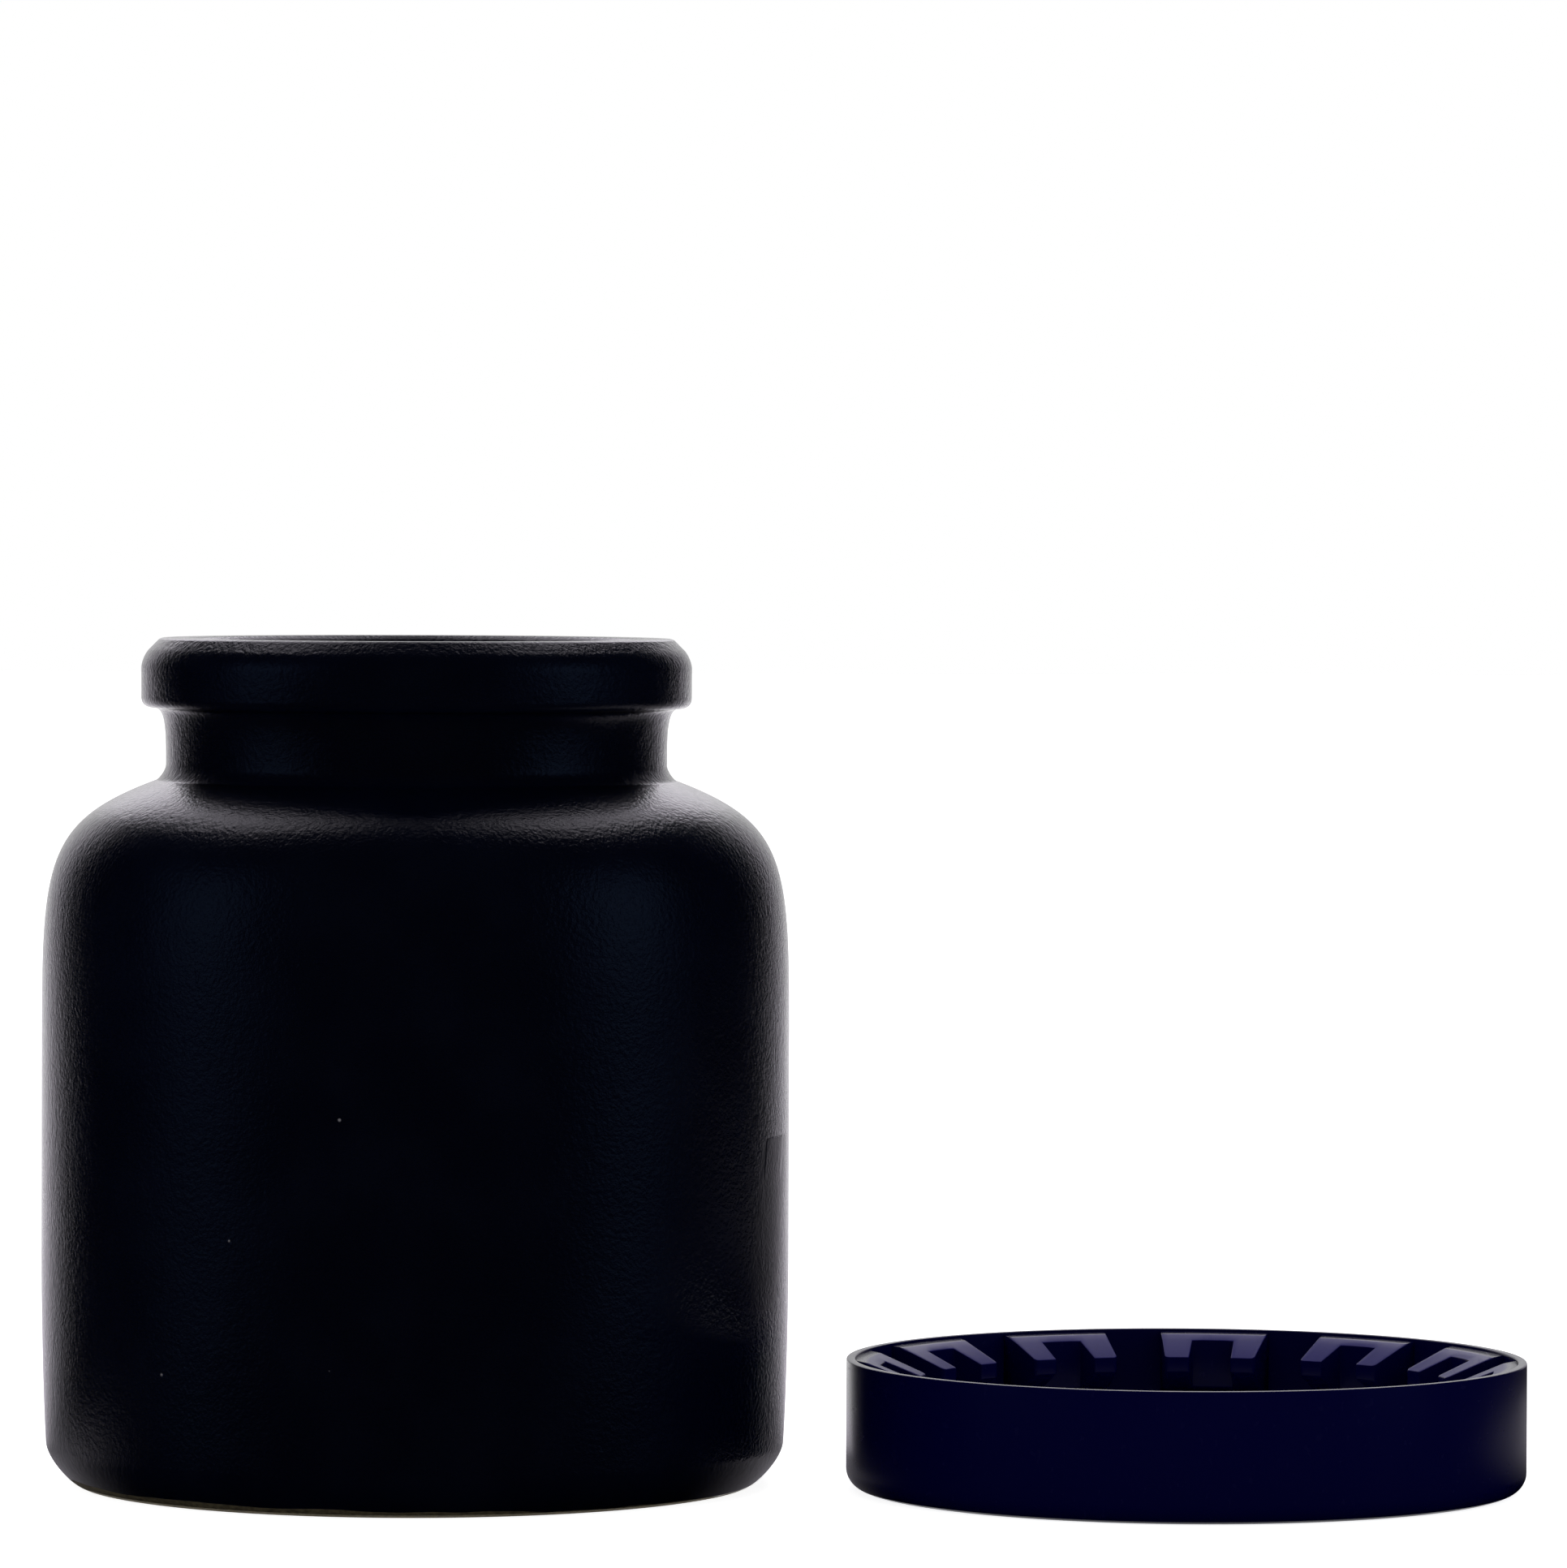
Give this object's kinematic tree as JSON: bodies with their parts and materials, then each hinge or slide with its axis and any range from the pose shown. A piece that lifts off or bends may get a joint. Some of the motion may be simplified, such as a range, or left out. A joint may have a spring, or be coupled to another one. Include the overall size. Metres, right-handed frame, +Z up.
{
  "type": "stoneware food jar",
  "caption": "Squat round stoneware food jar with a rounded shoulder, short neck and collared mouth; its shallow press-on plastic lid lies beside it, open side up.",
  "frame": {"origin": "centre of the jar's flat unglazed base, on the surface that it stands on", "axes": "+Z up along the jar's axis, +X from the jar towards the lid that lies beside it, -Y towards the viewer of the picture"},
  "size_m": [0.192, 0.1026, 0.1095],
  "materials": {
    "stoneware": "fine matt blue-black glaze, satin at grazing angles, bare olive-brown clay on the base and its edge",
    "lid_plastic": "dark navy moulded polythene, satin gloss",
    "liner_rubber": "soft milky white sealing disc, dull"
  },
  "bodies": {
    "jar": {"stoneware_jar": "stoneware"},
    "lid": {"snap_lid": "lid_plastic", "sealing_liner": "liner_rubber"}
  },
  "joints": [
    {"name": "lid_lift", "type": "slide", "parent": "jar", "child": "lid", "axis": [0, 0, 1], "range_m": [0, 0.13]}
  ]
}
